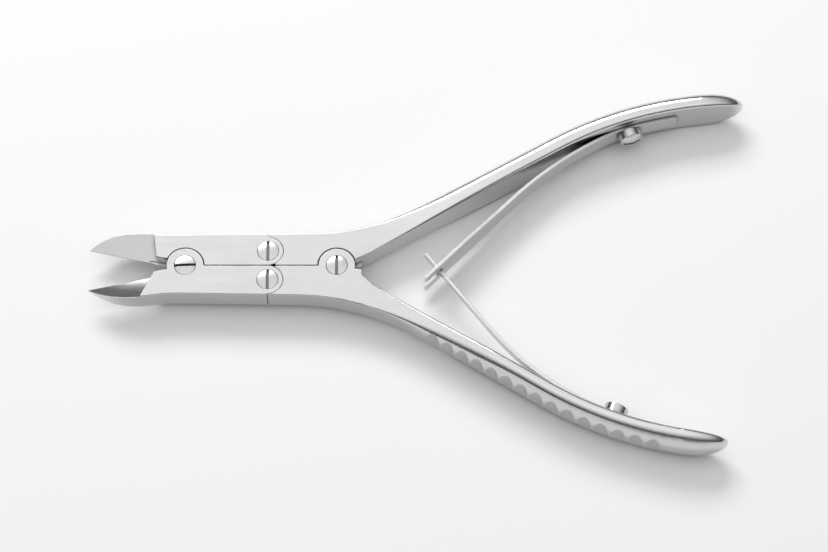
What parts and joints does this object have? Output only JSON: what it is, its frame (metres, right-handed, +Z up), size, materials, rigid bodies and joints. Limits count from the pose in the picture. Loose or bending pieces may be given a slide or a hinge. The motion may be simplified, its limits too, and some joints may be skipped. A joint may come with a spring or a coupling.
{
  "type": "double-action cutting pliers",
  "caption": "Compound-lever hand cutter: two long curved handles drive two pointed blades through a second pivot; crossed leaf springs hold it open.",
  "frame": {"origin": "middle of the tool's plan, level with the lowest side of the grips it lies on", "axes": "+X from the blade tips to the grip ends along the tool's axis, +Y towards the upper handle, +Z up through the joint's thickness, towards the screw heads"},
  "size_m": [0.1926, 0.1143, 0.013],
  "materials": {
    "body_steel": "satin-polished stainless steel",
    "screw_steel": "turned stainless steel",
    "spring_steel": "polished spring steel"
  },
  "bodies": {
    "lower_handle": {"lower_handle": "body_steel", "lower_link_screw": "screw_steel", "lower_spring": "spring_steel", "lower_spring_screw": "screw_steel"},
    "upper_handle": {"upper_handle": "body_steel", "handle_pivot_screw": "screw_steel", "upper_link_screw": "screw_steel", "upper_spring": "spring_steel", "upper_spring_screw": "screw_steel"},
    "lower_jaw": {"lower_jaw": "body_steel"},
    "upper_jaw": {"upper_jaw": "body_steel", "jaw_pivot_screw": "screw_steel"}
  },
  "joints": [
    {"name": "handle_squeeze", "type": "hinge", "parent": "lower_handle", "child": "upper_handle", "pos_m": [-0.0241, 0, 0.0065], "axis": [0, 0, -1], "range_deg": [0, 30.4], "stiffness_Nm_per_rad": 1.2, "springref_deg": -20.05, "deforming": ["upper_spring", "lower_spring"]},
    {"name": "lower_jaw_link", "type": "hinge", "parent": "lower_handle", "child": "lower_jaw", "pos_m": [-0.0441, -0.00455, 0.0065], "axis": [0, 0, -1], "range_deg": [0, 27.9]},
    {"name": "upper_jaw_link", "type": "hinge", "parent": "upper_handle", "child": "upper_jaw", "pos_m": [-0.0441, 0.00455, 0.0065], "axis": [0, 0, 1], "range_deg": [0, 27.9]}
  ],
  "couplings": [
    {"joint": "lower_jaw_link", "follows": "handle_squeeze", "ratio": 0.911},
    {"joint": "upper_jaw_link", "follows": "handle_squeeze", "ratio": 0.911}
  ]
}
